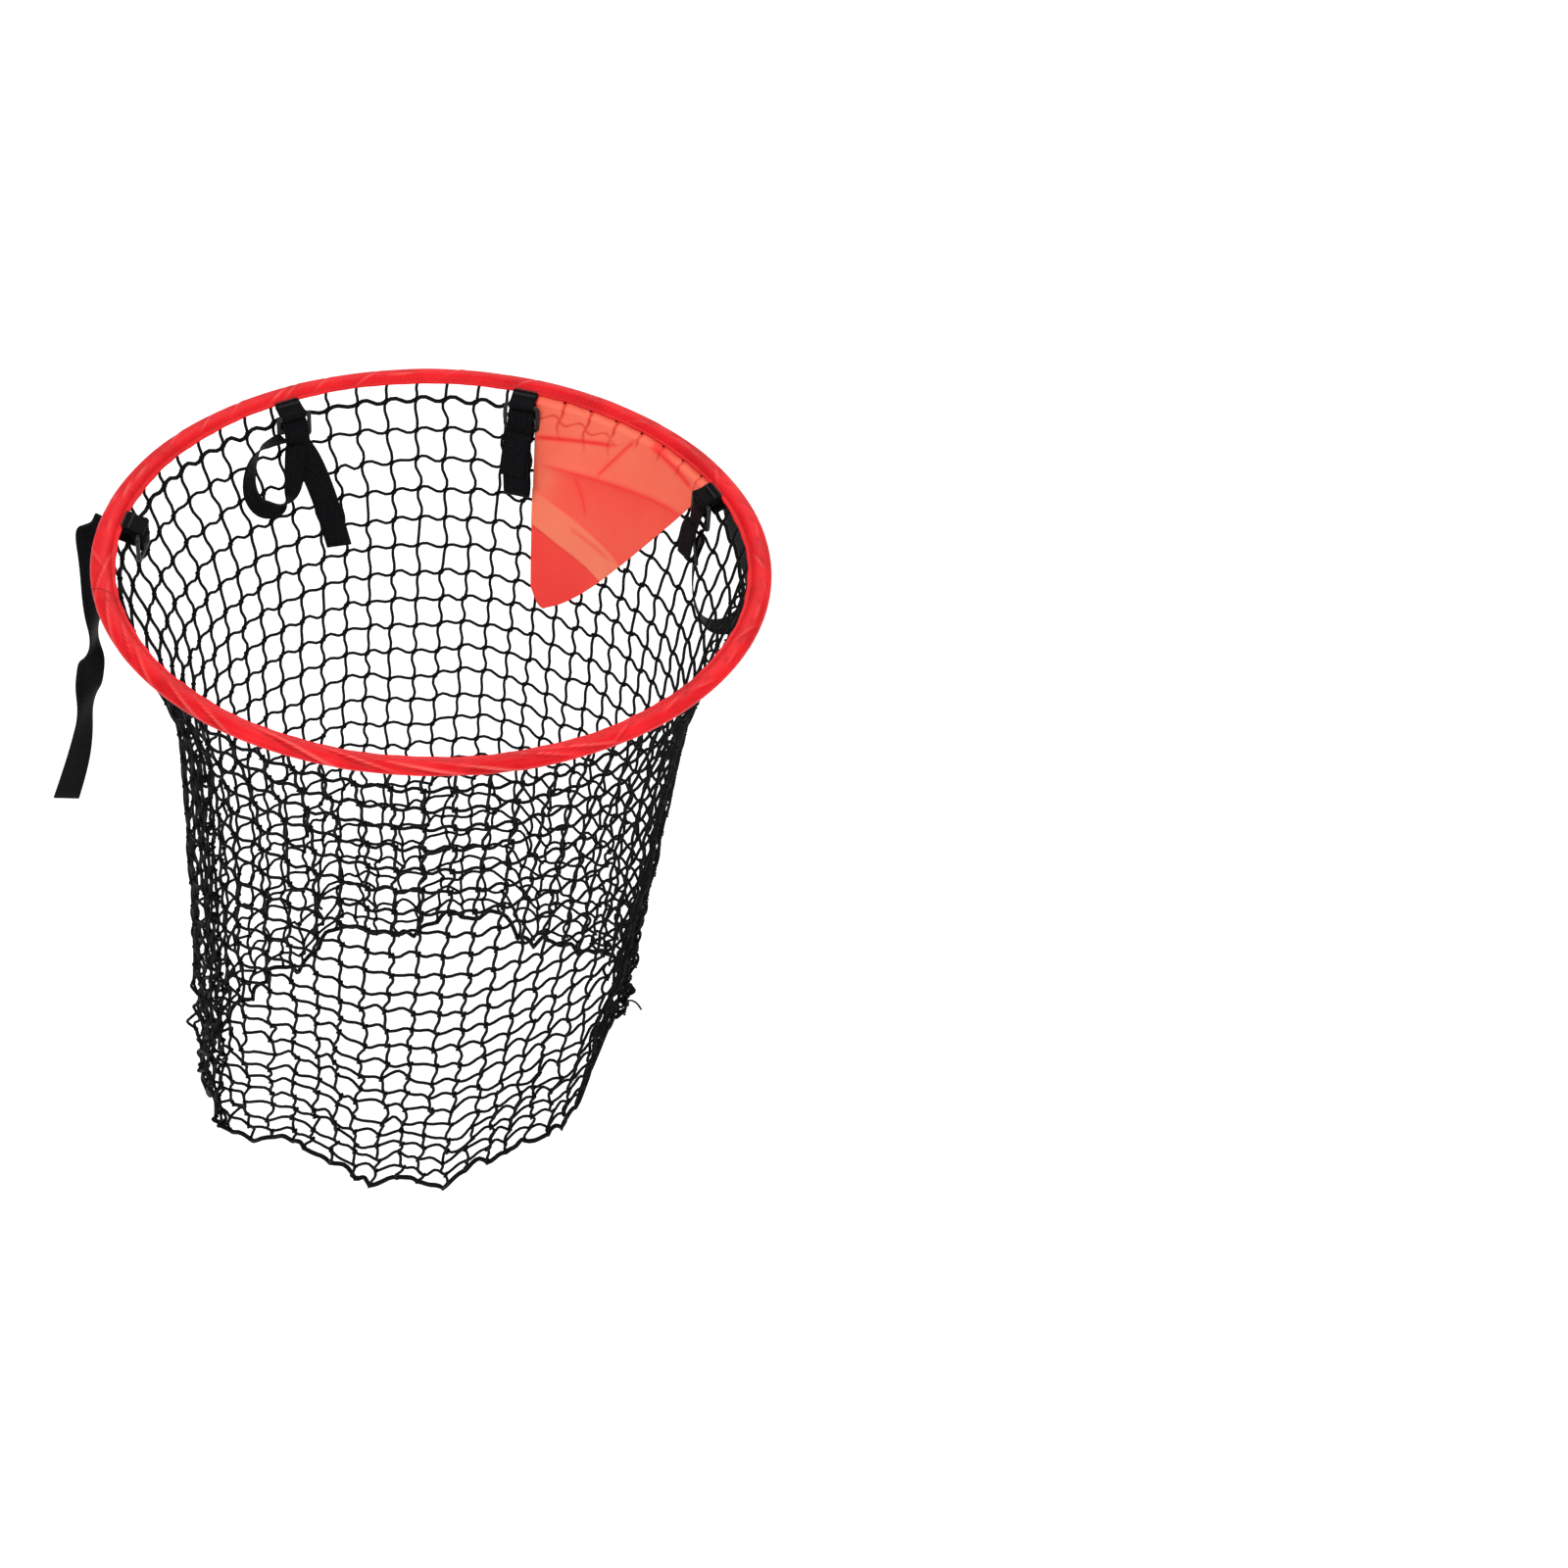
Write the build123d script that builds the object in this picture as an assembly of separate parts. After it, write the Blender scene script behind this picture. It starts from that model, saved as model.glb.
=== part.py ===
from build123d import *
import math
import os

# Hanging hoop-and-net target: a sprung hoop in a fabric sleeve, an open-bottomed net,
# a corner flap and four webbing tie straps with three-bar slide buckles.
# Millimetres. Origin at the centre of the hoop, +Z up, -Y towards the plain front of the hoop.

# ---- hoop ----
HOOP_R = 300.0             # outer radius of the fabric sleeve
TUBE_R = 291.0             # centre of the sleeve's tube and of the wire inside it
TUBE_HALF_W = 9.0          # half width of the sleeve's oval section
TUBE_HALF_H = 6.0          # half height of the same section
CLOTH = 0.8                # sleeve cloth with its seam allowance pressed flat
SEAM_R = 278.0             # inner edge of the sewn seam
WIRE_R = 2.5               # spring wire, 5 mm thick
FERRULE_LEN = 44.0
FERRULE_AZ = -169.0        # the wire's joint, under the sleeve's oblique join
THREAD_R = 0.25

# ---- net ----
NET_TOP = -3.0
NET_DEPTH = 662.0
NET_WALL = 1.2
NET_FLARE = 95.0           # depth over which the net narrows quickly below the hoop
HEM_CORD_R = 2.0
LACING_R = 1.6
LACING_AZ = -5.0

# ---- webbing and buckles ----
WEB_W = 25.0
WEB_T = 1.4
BUCKLE_R = 264.5           # radius at which the buckles hang
BUCKLE_TOP = -7.0          # height of a buckle's top bar
BAR_R = 1.8
BAR_GAP = 12.5             # from one bar to the next
BUCKLE_W = 36.0
SIDE_W = 4.0
SIDE_T = 3.6
LOOP_IN = 2.3              # webbing round a bar, inside and outside radius
LOOP_OUT = LOOP_IN + WEB_T
STRAP_AZ = {1: 170.5, 2: 120.5, 3: 72.0, 4: 22.0}
STRAP_LEAN = 13.0          # degrees that straps 2 to 4 lean inwards, against the net

# ---- corner flap ----
FLAP_AZ = (25.6, 67.6)
FLAP_R = 271.0
FLAP_TOP = -4.0
FLAP_T = 1.0
FLAP_TIP_AZ = (58.0, 64.5)
FLAP_TIP_R = 220.0
FLAP_TIP_Z = -208.0


def at_azimuth(shape, azimuth):
    """Turns a shape drawn with X outwards and Y along the hoop to its place on the hoop."""
    return Rot(0, 0, azimuth) * shape


def net_section(z):
    """Centre x, half width and half depth of the hanging net at height z."""
    flare = math.exp(-((z / NET_FLARE) ** 2))
    left = -(234 + 43 * flare)
    right = 249 + 0.106 * z + 28 * flare
    half_depth = 177 + 80 * (1 + z / NET_DEPTH) + 20 * flare
    return (right + left) / 2, (right - left) / 2, half_depth


def ring_solid(face):
    """A ring about the Z axis from a face drawn in the XZ plane."""
    return revolve(face, Axis.Z, 360)


# ---------------------------------------------------------------- hoop


def hoop_wire():
    gap = math.degrees(0.4 / TUBE_R)
    section = Plane.XZ * Pos(TUBE_R, 0) * Circle(WIRE_R)
    return at_azimuth(revolve(section, Axis.Z, 360 - gap), FERRULE_AZ + gap / 2)


def wire_ferrule():
    angle = math.degrees(FERRULE_LEN / TUBE_R)
    section = Plane.XZ * Pos(TUBE_R, 0) * (Circle(WIRE_R + 0.9) - Circle(WIRE_R + 0.05))
    return at_azimuth(revolve(section, Axis.Z, angle), FERRULE_AZ - angle / 2)


def hoop_sleeve():
    tube = Pos(TUBE_R, 0) * Ellipse(TUBE_HALF_W, TUBE_HALF_H)
    tab_w = TUBE_R - TUBE_HALF_W + 1.5 - SEAM_R
    tab = Pos(SEAM_R + tab_w / 2, 0) * Rectangle(tab_w, 2 * CLOTH)
    hollow = Pos(TUBE_R, 0) * Ellipse(TUBE_HALF_W - CLOTH, TUBE_HALF_H - CLOTH)
    return ring_solid(Plane.XZ * (tube + tab - hollow))


def sleeve_seam_thread():
    section = Circle(THREAD_R)
    z = CLOTH + THREAD_R + 0.05
    return [ring_solid(Plane.XZ * Pos(SEAM_R + 3.2, side * z) * section) for side in (1, -1)]


# ---------------------------------------------------------------- net


def net_surface(inset):
    """The net's hanging shape as one solid, drawn in by inset all round."""
    heights = [NET_TOP, -35, -70, -110, -160, -230, -360, -500, -NET_DEPTH]
    sections = []
    for z in heights:
        x, half_w, half_d = net_section(z)
        sections.append(Pos(x, 0, z) * Ellipse(half_w - inset, half_d - inset))
    return loft(sections, ruled=True)


def net():
    shell = net_surface(0) - net_surface(NET_WALL)
    # straps 1 and 4 leave through meshes just under the sleeve
    mesh = Pos(272, 0, -14) * Box(26, WEB_W + 4, 12)
    return shell - at_azimuth(mesh, STRAP_AZ[1]) - at_azimuth(mesh, STRAP_AZ[4])


def net_hem_cord():
    x, half_w, half_d = net_section(-NET_DEPTH)
    z = -NET_DEPTH - HEM_CORD_R - 0.5
    path = Pos(x, 0, z) * Edge.make_ellipse(half_w - 0.6, half_d - 0.6)
    start = Plane(origin=path @ 0, z_dir=path % 0)
    return sweep(start * Circle(HEM_CORD_R), path=path)


def net_side_lacing():
    """The cord that laces the net's two edges together, just outside the net."""
    a = math.radians(LACING_AZ)
    points = []
    for z in (-12, -50, -90, -130, -185, 4 - NET_DEPTH):
        x, half_w, half_d = net_section(z)
        out = LACING_R + 1.6
        points.append((x + (half_w + out) * math.cos(a), (half_d + out) * math.sin(a), z))
    path = FilletPolyline(*points, radius=60)
    start = Plane(origin=path @ 0, z_dir=path % 0)
    return sweep(start * Circle(LACING_R), path=path)


# ---------------------------------------------------------------- buckles and their loops


def bar_loop(z):
    """Webbing wrapped round a bar at height z, as a ring along Y."""
    ring = Plane.XZ * Pos(BUCKLE_R, z) * (Circle(LOOP_OUT) - Circle(LOOP_IN))
    return extrude(ring, WEB_W / 2, both=True)


def anchor_loop():
    """Doubled webbing sewn into the sleeve's seam, round the buckle's top bar."""
    inner = SEAM_R - 0.6
    leg = Polygon(
        (BUCKLE_R - 1.0, BUCKLE_TOP + LOOP_OUT - 0.3),
        (inner, 0.6),
        (inner, 0.6 - 2 * WEB_T),
        (BUCKLE_R + 2.9, BUCKLE_TOP + 2.1),
        align=None,
    )
    leg = extrude(Plane.XZ * leg, WEB_W / 2, both=True)
    return bar_loop(BUCKLE_TOP) + leg - bar_clearance(BUCKLE_TOP)


def bar_clearance(z):
    return extrude(Plane.XZ * Pos(BUCKLE_R, z) * Circle(LOOP_IN), WEB_W, both=True)


def anchor_stitching():
    tack = Pos(SEAM_R + 1.2, 0, CLOTH + 0.4) * Box(1.2, WEB_W - 3, 0.6)
    return [at_azimuth(tack, azimuth) for azimuth in STRAP_AZ.values()]


def buckle():
    """Three-bar slide: round bars across two flat sides with rounded ends."""
    length = BUCKLE_W - SIDE_W
    bars = [BUCKLE_TOP - i * BAR_GAP for i in range(3)]
    body = None
    for z in bars:
        bar = Pos(BUCKLE_R, 0, z) * Rot(90, 0, 0) * Cylinder(BAR_R, length)
        body = bar if body is None else body + bar
    height = 2 * BAR_GAP + 2 * BAR_R + 0.6
    for side in (-1, 1):
        y = side * (BUCKLE_W - SIDE_W) / 2
        outline = Plane.YZ * Pos(y, bars[1]) * RectangleRounded(SIDE_W, height, SIDE_W / 2 - 0.05)
        body += Pos(BUCKLE_R, 0, 0) * extrude(outline, SIDE_T / 2, both=True)
    return body


# ---------------------------------------------------------------- straps


def flat_ribbon(points, radius):
    """Webbing that lies flat against the net: centre line in the YZ plane, width across it."""
    path = FilletPolyline(*points, radius=radius) if len(points) > 2 else Line(*points)
    return extrude(Plane.YZ * trace(path, WEB_W), WEB_T / 2, both=True)


def edge_ribbon(points, radius, depth):
    """Webbing that stands on edge: line in the YZ plane, its width running inwards."""
    path = FilletPolyline(*points, radius=radius)
    return extrude(Plane.YZ * trace(path, WEB_T), -depth)


def side_ribbon(points, radius):
    """Webbing whose line lies in the XZ plane, its width along the hoop."""
    path = FilletPolyline(*points, radius=radius)
    return extrude(Plane.XZ * trace(path, WEB_T), WEB_W / 2, both=True)


def hanging_from_bar(drop, x):
    """The webbing's turn round the centre bar and its straight lead over the bottom bar."""
    z = BUCKLE_TOP - BAR_GAP
    turn = bar_loop(z)
    lead = Polygon(
        (BUCKLE_R - LOOP_OUT, z),
        (BUCKLE_R - LOOP_IN, z),
        (x + WEB_T / 2, -drop),
        (x - WEB_T / 2, -drop),
        align=None,
    )
    return turn + extrude(Plane.XZ * lead, WEB_W / 2, both=True)


LEAD_X = BUCKLE_R - LOOP_OUT + WEB_T / 2


def leaning(shape):
    """Swings a hanging strap inwards about its bar until it lies along the net."""
    bar = Pos(BUCKLE_R, 0, BUCKLE_TOP - BAR_GAP)
    return bar * Rot(0, STRAP_LEAN, 0) * bar.inverse() * shape


def strap_1_thread():
    """Strap 1 round its buckle's centre bar; the rest leaves outwards under the sleeve."""
    return bar_loop(BUCKLE_TOP - BAR_GAP)


def strap_1_under():
    """Strap 1 from its buckle, under the sleeve and up round its outer edge."""
    z = BUCKLE_TOP - BAR_GAP
    points = [(BUCKLE_R + LOOP_OUT + 0.6, z + 2), (280, -13.5), (300, -9.5), (306.5, -6)]
    return side_ribbon(points, 6)


def strap_1_tail():
    """The free end outside the hoop, leaning a little outwards as it hangs."""
    points = [
        (309, -9), (312, -50), (314, -95), (318, -140), (325, -180),
        (333, -222), (340, -265), (350, -305), (362, -342),
    ]
    return side_ribbon(points, 90)


def strap_2_tail():
    lead = hanging_from_bar(42, LEAD_X)
    tail = Pos(LEAD_X, 0, 0) * flat_ribbon([(0, -38), (-12, -86), (-34, -164)], 60)
    return lead + tail


def strap_2_loop():
    points = [(22, -26), (37, -38), (52, -60), (53, -84), (38, -104), (20, -102), (9, -80), (6, -50)]
    return Pos(LEAD_X - 3, 0, 0) * edge_ribbon(points, [16, 18, 14, 12, 12, 16], WEB_W - 3)


def strap_3_loop():
    """Both runs of strap 3's loop, face to face, closed by a fold at the bottom."""
    z = -99.0
    lead = hanging_from_bar(42, LEAD_X)
    back = Pos(LEAD_X, 0, (z - 40) / 2) * Box(WEB_T, WEB_W, -z - 40)
    front = Pos(LEAD_X - 2.6, 0, (z - 46) / 2) * Box(WEB_T, WEB_W, -z - 46)
    fold = Plane.XZ * Pos(LEAD_X - 1.3, z) * (Circle(2.0) - Circle(0.6))
    half = Pos(LEAD_X - 1.3, 0, z - 5) * Box(10, WEB_W, 10)
    return lead + back + front + (extrude(fold, WEB_W / 2, both=True) & half)


def strap_3_tail():
    top = BUCKLE_TOP - 2 * BAR_GAP - 2
    return Pos(LEAD_X - 5.2, 0, top - 20) * Box(WEB_T, WEB_W, 40)


def strap_4_tail():
    lead = hanging_from_bar(44, LEAD_X)
    return lead + Pos(LEAD_X, 0, 0) * flat_ribbon([(0, -40), (5, -80)], 20)


def strap_4_under():
    """Strap 4's slack from its buckle, out through a mesh to the sleeve's underside."""
    z = BUCKLE_TOP - BAR_GAP
    points = [(BUCKLE_R + LOOP_OUT + 0.6, z + 2), (279, -14), (290, -12.5)]
    return side_ribbon(points, 6)


def strap_4_loop():
    """The slack itself, a ring that hangs beside the net and comes back to it."""
    points = [
        (293.5, -15), (300, -40), (322, -98), (331, -137), (318, -158), (300, -163),
        (280, -154), (265, -122), (262, -92), (263.5, -68), (270, -48),
    ]
    return side_ribbon(points, [40, 60, 14, 14, 14, 20, 60, 60, 60])


# ---------------------------------------------------------------- flap


def corner_flap():
    """A sector of cloth hanging from the seam between straps 3 and 4, down to its tip."""

    def strip(radius, azimuths, z):
        first, last = (math.radians(a) for a in azimuths)
        outer, inner = radius, radius - FLAP_T
        span = azimuths[1] - azimuths[0]
        wire = Wire([
            CenterArc((0, 0, z), outer, azimuths[0], span),
            Line(
                (outer * math.cos(last), outer * math.sin(last), z),
                (inner * math.cos(last), inner * math.sin(last), z),
            ),
            CenterArc((0, 0, z), inner, azimuths[1], -span),
            Line(
                (inner * math.cos(first), inner * math.sin(first), z),
                (outer * math.cos(first), outer * math.sin(first), z),
            ),
        ])
        return Face(wire)

    top = strip(FLAP_R, FLAP_AZ, FLAP_TOP)
    tip = strip(FLAP_TIP_R, FLAP_TIP_AZ, FLAP_TIP_Z)
    return loft([top, tip], ruled=True)


# ---------------------------------------------------------------- write


def nodes():
    made = {
        "hoop_wire": hoop_wire(),
        "wire_ferrule": wire_ferrule(),
        "hoop_sleeve": hoop_sleeve(),
        "sleeve_seam_thread": sleeve_seam_thread(),
        "net": net(),
        "net_side_lacing": net_side_lacing(),
        "net_hem_cord": net_hem_cord(),
        "corner_flap": corner_flap(),
        "anchor_stitching": anchor_stitching(),
    }
    for number, azimuth in STRAP_AZ.items():
        made[f"anchor_loop_{number}"] = at_azimuth(anchor_loop(), azimuth)
        made[f"buckle_{number}"] = at_azimuth(buckle(), azimuth)
    straps = {
        1: (strap_1_thread, strap_1_under, strap_1_tail),
        2: (strap_2_tail, strap_2_loop),
        3: (strap_3_loop, strap_3_tail),
        4: (strap_4_tail, strap_4_under, strap_4_loop),
    }
    for number, makers in straps.items():
        for maker in makers:
            inside = number != 1 and maker not in (strap_4_under, strap_4_loop)
            strap = leaning(maker()) if inside else maker()
            made[maker.__name__] = at_azimuth(strap, STRAP_AZ[number])
    return made


os.makedirs("parts", exist_ok=True)
for name, shape in nodes().items():
    solids = shape if isinstance(shape, list) else shape.solids()
    export_step(Compound(children=list(solids)) if len(solids) > 1 else solids[0], f"parts/{name}.step")
    print(name, len(solids), round(sum(s.volume for s in solids)))
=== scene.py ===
import math

import bpy
import numpy as np
from mathutils import Matrix


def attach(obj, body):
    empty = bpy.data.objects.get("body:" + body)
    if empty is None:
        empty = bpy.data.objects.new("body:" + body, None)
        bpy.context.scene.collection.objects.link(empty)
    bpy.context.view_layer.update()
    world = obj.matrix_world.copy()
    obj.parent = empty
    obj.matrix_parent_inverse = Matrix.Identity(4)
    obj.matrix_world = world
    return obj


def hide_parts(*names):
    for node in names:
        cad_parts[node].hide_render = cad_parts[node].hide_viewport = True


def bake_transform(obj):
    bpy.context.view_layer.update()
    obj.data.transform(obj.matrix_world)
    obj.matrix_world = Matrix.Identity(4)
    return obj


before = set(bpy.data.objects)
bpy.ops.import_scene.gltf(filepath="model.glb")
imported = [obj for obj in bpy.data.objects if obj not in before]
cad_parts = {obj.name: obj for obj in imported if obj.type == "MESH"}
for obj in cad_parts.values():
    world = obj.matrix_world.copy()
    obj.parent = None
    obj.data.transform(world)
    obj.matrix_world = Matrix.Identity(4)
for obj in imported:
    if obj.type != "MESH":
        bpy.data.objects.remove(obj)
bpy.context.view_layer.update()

# Hanging hoop-and-net target. Metres, in the CAD frame: origin at the hoop's centre, Z up.

# ---- sizes that repeat the CAD's ----
TUBE_R = 0.291
TUBE_HALF_W = 0.009
TUBE_HALF_H = 0.006
SEAM_R = 0.278
CLOTH = 0.0008
WEB_W = 0.025
WEB_T = 0.0014
BUCKLE_R = 0.2645
BUCKLE_TOP = -0.007
BAR_GAP = 0.0125
BUCKLE_W = 0.036
LEAD_X = 0.2615
STRAP_AZ = {1: 170.5, 2: 120.5, 3: 72.0, 4: 22.0}
STRAP_LEAN = math.radians(13)
JOIN_AZ = math.radians(-169)
NET_DEPTH = 0.662

rng = np.random.default_rng(20)


def unit(vectors):
    return vectors / np.maximum(np.linalg.norm(vectors, axis=-1, keepdims=True), 1e-12)


def smoothstep(low, high, x):
    t = np.clip((x - low) / (high - low), 0, 1)
    return t * t * (3 - 2 * t)


# ------------------------------------------------------------------ meshes


def add_mesh(name, vertices, faces, material, point=None, corner=None, smooth=True):
    """A new object; point and corner hold named attributes, one number a vertex or a face corner."""
    mesh = bpy.data.meshes.new(name)
    mesh.from_pydata(np.asarray(vertices, float).reshape(-1, 3).tolist(), [], faces)
    mesh.polygons.foreach_set("use_smooth", [smooth] * len(mesh.polygons))
    for domain, layers in (("POINT", point), ("CORNER", corner)):
        for key, values in (layers or {}).items():
            layer = mesh.attributes.new(key, "FLOAT", domain)
            layer.data.foreach_set("value", np.asarray(values, np.float32).ravel())
    mesh.materials.append(material)
    made = bpy.data.objects.new(name, mesh)
    bpy.context.scene.collection.objects.link(made)
    return made


def torus_grid(points, **layers):
    """Faces of a grid that closes both ways, and its layers, given one step longer, by face corner."""
    nu, nv = points.shape[:2]
    i, j = np.meshgrid(np.arange(nu), np.arange(nv), indexing="ij")
    steps = ((0, 0), (1, 0), (1, 1), (0, 1))
    faces = np.stack([(i + a) % nu * nv + (j + b) % nv for a, b in steps], -1)
    corner = {k: np.stack([v[i + a, j + b] for a, b in steps], -1) for k, v in layers.items()}
    return faces.reshape(-1, 4).tolist(), corner


def shell(points, thickness):
    """A closed sheet round a grid of points; thickness may vary over the grid."""
    nu, nv = points.shape[:2]
    normal = unit(np.cross(np.gradient(points, axis=0), np.gradient(points, axis=1)))
    half = normal * (np.broadcast_to(thickness, (nu, nv)) / 2)[..., None]
    vertices = np.concatenate([(points + half).reshape(-1, 3), (points - half).reshape(-1, 3)])
    top = np.arange(nu * nv).reshape(nu, nv)
    low = top + nu * nv
    a, b, c, d = top[:-1, :-1], top[1:, :-1], top[1:, 1:], top[:-1, 1:]
    quads = [np.stack([a, b, c, d], -1), np.stack([d, c, b, a], -1) + nu * nv]
    for edge, under, flip in (
        (top[:, 0], low[:, 0], 1), (top[:, -1], low[:, -1], -1),
        (top[0], low[0], -1), (top[-1], low[-1], 1),
    ):
        quads.append(np.stack([edge[:-1], under[:-1], under[1:], edge[1:]], -1)[:, ::flip])
    return vertices, np.concatenate([q.reshape(-1, 4) for q in quads]).tolist()


def tubes(lines, radius, sides, out):
    """Closed tubes round lines of the shape (n, m, 3); out points across them."""
    n, m, _ = lines.shape
    tangent = unit(np.gradient(lines, axis=1))
    across = unit(out - (out * tangent).sum(-1, keepdims=True) * tangent)
    turn = 2 * math.pi * np.arange(sides) / sides
    upward = np.cross(tangent, across)
    ring = across[:, :, None] * np.cos(turn)[:, None] + upward[:, :, None] * np.sin(turn)[:, None]
    vertices = lines[:, :, None] + ring * np.broadcast_to(radius, (n, m))[..., None, None]
    index = np.arange(n * m * sides).reshape(n, m, sides)
    after = np.roll(index, -1, axis=2)
    quads = np.stack([index[:, :-1], after[:, :-1], after[:, 1:], index[:, 1:]], -1).reshape(-1, 4)
    caps = np.concatenate([index[:, 0, ::-1], index[:, -1]])
    step = np.linalg.norm(np.diff(lines, axis=1, prepend=lines[:, :1]), axis=-1)
    along = np.repeat(np.cumsum(step, axis=1)[..., None], sides, axis=2)
    point = {
        "along": along,
        "round_cos": np.broadcast_to(np.cos(turn), along.shape),
        "round_sin": np.broadcast_to(np.sin(turn), along.shape),
    }
    return vertices.reshape(-1, 3), quads.tolist() + caps.tolist(), point


def joined(parts):
    """Several (vertices, faces, point layers) as one."""
    vertices, faces, layers, start = [], [], {}, 0
    for v, f, p in parts:
        vertices.append(v)
        faces += [[k + start for k in face] for face in f]
        for key, values in p.items():
            layers.setdefault(key, []).append(np.asarray(values).ravel())
        start += len(v)
    return np.concatenate(vertices), faces, {k: np.concatenate(v) for k, v in layers.items()}


# ------------------------------------------------------------------ materials


class Finish:
    """A Principled material and short names for the nodes that feed it."""

    def __init__(self, name, **inputs):
        self.material = bpy.data.materials.new(name)
        self.material.use_nodes = True
        self.tree = self.material.node_tree
        self.shader = self.tree.nodes["Principled BSDF"]
        for key, value in inputs.items():
            self.shader.inputs[key.replace("_", " ")].default_value = value

    def set(self, node, index, value):
        if isinstance(value, bpy.types.NodeSocket):
            self.tree.links.new(value, node.inputs[index])
        elif value is not None:
            node.inputs[index].default_value = value

    def node(self, kind, output, *values, **settings):
        made = self.tree.nodes.new("ShaderNode" + kind)
        for key, value in settings.items():
            setattr(made, key, value)
        for index, value in enumerate(values):
            self.set(made, index, value)
        return made.outputs[output]

    def math(self, operation, a, b=None):
        return self.node("Math", 0, a, b, operation=operation)

    def layer(self, name):
        return self.node("Attribute", "Fac", attribute_name=name)

    def place(self):
        return self.node("TexCoord", "Object")

    def noise(self, scale, detail=3.0, roughness=0.55):
        return self.node("TexNoise", "Fac", self.place(), None, scale, detail, roughness)

    def ramp(self, factor, *stops):
        made = self.tree.nodes.new("ShaderNodeValToRGB")
        while len(made.color_ramp.elements) < len(stops):
            made.color_ramp.elements.new(0.5)
        for element, (position, colour) in zip(made.color_ramp.elements, stops):
            element.position = position
            element.color = (*colour, 1)
        self.set(made, 0, factor)
        return made.outputs["Color"]

    def mix(self, factor, a, b):
        made = self.tree.nodes.new("ShaderNodeMix")
        made.data_type = "RGBA"
        for index, value in ((0, factor), (6, a), (7, b)):
            self.set(made, index, (*value, 1) if isinstance(value, tuple) else value)
        return made.outputs[2]

    def line(self, distance, half_width):
        """1 on a line where distance is 0, falling to 0 at half_width."""
        return self.node(
            "MapRange", 0, self.math("ABSOLUTE", distance), 0.0, half_width, 1.0, 0.0
        )

    def finish(self, colour=None, roughness=None, height=None, distance=0.0002, strength=1.0):
        self.set(self.shader, "Base Color", colour)
        self.set(self.shader, "Roughness", roughness)
        if height is not None:
            bump = self.node("Bump", 0, strength, distance)
            self.set(bump.node, "Height", height)
            self.set(self.shader, "Normal", bump)
        return self.material


def wave(f, phase, length):
    """sin(2 pi phase / length)"""
    return f.math("SINE", f.math("MULTIPLY", phase, 2 * math.pi / length))


def satin_material():
    f = Finish("sleeve_satin", Specular_IOR_Level=0.16, Anisotropic=0.35)
    along, around, tone = f.layer("along"), f.layer("around"), f.layer("tone")
    weave = f.math("MULTIPLY", wave(f, along, 0.0009), wave(f, around, 0.0009))
    cloud = f.noise(22, 4)
    colour = f.ramp(
        cloud,
        (0.3, (0.54, 0.002, 0.005)), (0.5, (0.70, 0.004, 0.009)), (0.72, (0.80, 0.011, 0.016)),
    )
    # painted shade in the creases and dimples, then a painted highlight along the crests
    colour = f.mix(f.node("MapRange", 0, tone, 0.0, 1.0, 0.0, 1.0), colour, (0.34, 0.0015, 0.004))
    colour = f.mix(f.node("MapRange", 0, tone, 0.0, -1.0, 0.0, 0.85), colour, (1.0, 0.24, 0.21))
    slant = f.math("SUBTRACT", along, f.math("MULTIPLY", around, 0.8))
    join = f.line(f.math("SUBTRACT", slant, JOIN_AZ * TUBE_R), 0.0013)
    colour = f.mix(f.math("MULTIPLY", join, 0.7), colour, (0.22, 0.002, 0.005))
    pucker = f.math("MULTIPLY", wave(f, along, 0.0042), f.line(f.math("SUBTRACT", around, 0.0192), 0.004))
    height = f.math("ADD", f.math("MULTIPLY", weave, 0.10), f.math("MULTIPLY", cloud, 0.8))
    height = f.math("ADD", height, f.math("MULTIPLY", pucker, 0.45))
    height = f.math("SUBTRACT", height, f.math("MULTIPLY", join, 1.6))
    rough = f.node("MapRange", 0, cloud, 0.2, 0.8, 0.34, 0.46)
    return f.finish(colour, rough, height, 0.0006, 0.7)


def flap_material():
    f = Finish("flap_cloth", Specular_IOR_Level=0.25, Sheen_Weight=0.05, Sheen_Roughness=0.4)
    along, across, tone = f.layer("along"), f.layer("across"), f.layer("tone")
    weave = f.math("MULTIPLY", wave(f, along, 0.0011), wave(f, across, 0.0011))
    cloud = f.noise(14, 5)
    # the light orange end of the ramp is painted light shining through the thin cloth; the painted shading of
    # the folds darkens it to the cloth's red
    colour = f.ramp(
        f.math("ADD", tone, f.math("MULTIPLY", f.math("SUBTRACT", cloud, 0.5), 0.35)),
        (0.0, (0.90, 0.215, 0.115)), (0.35, (0.89, 0.122, 0.072)),
        (0.7, (0.88, 0.050, 0.035)), (1.0, (0.80, 0.020, 0.020)),
    )
    # painted shadows of the net's cords behind, seen through the cloth
    colour = f.mix(f.layer("cords"), colour, (0.66, 0.012, 0.012))
    height = f.math("ADD", f.math("MULTIPLY", weave, 0.12), f.math("MULTIPLY", cloud, 1.2))
    return f.finish(colour, f.node("MapRange", 0, cloud, 0.2, 0.8, 0.5, 0.62), height, 0.0007, 0.5)


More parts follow.
